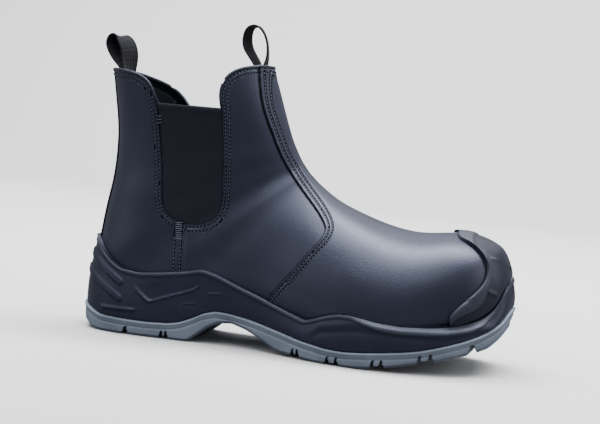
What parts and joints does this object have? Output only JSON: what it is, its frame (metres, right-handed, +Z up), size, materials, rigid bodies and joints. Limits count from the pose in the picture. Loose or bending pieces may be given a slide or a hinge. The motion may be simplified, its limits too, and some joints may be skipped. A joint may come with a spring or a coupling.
{
  "type": "side gore work boot",
  "caption": "Ankle-high pull-on work boot with a smooth leather upper, elastic side gores, moulded toe guard, webbing pull loops and a lugged sole with a raised heel.",
  "frame": {"origin": "On the floor, in the middle of the flat heel tread.", "axes": "+X points to the toe, +Y to the boot's medial (inner) side and +Z up; the boot stands on the plane z = 0."},
  "size_m": [0.3065, 0.1168, 0.2229],
  "materials": {
    "tread_rubber": "matte blue-grey tread rubber with scuffed lug edges",
    "moulded_midsole": "moulded black foam with a soft satin skin",
    "guard_rubber": "moulded dark rubber, satin, slightly lighter than the foam",
    "upper_leather": "smooth semi-gloss dark navy-black leather with fine grain",
    "gore_elastic": "matte fine-ribbed elastic",
    "loop_webbing": "matte woven webbing",
    "insole_fabric": "matte dark textile footbed"
  },
  "bodies": {
    "root": {"outsole": "tread_rubber", "midsole": "moulded_midsole", "toe_bumper": "guard_rubber", "upper": "upper_leather", "gore_lateral": "gore_elastic", "gore_medial": "gore_elastic", "pull_loop_back": "loop_webbing", "pull_loop_front": "loop_webbing", "insole": "insole_fabric"}
  },
  "joints": []
}
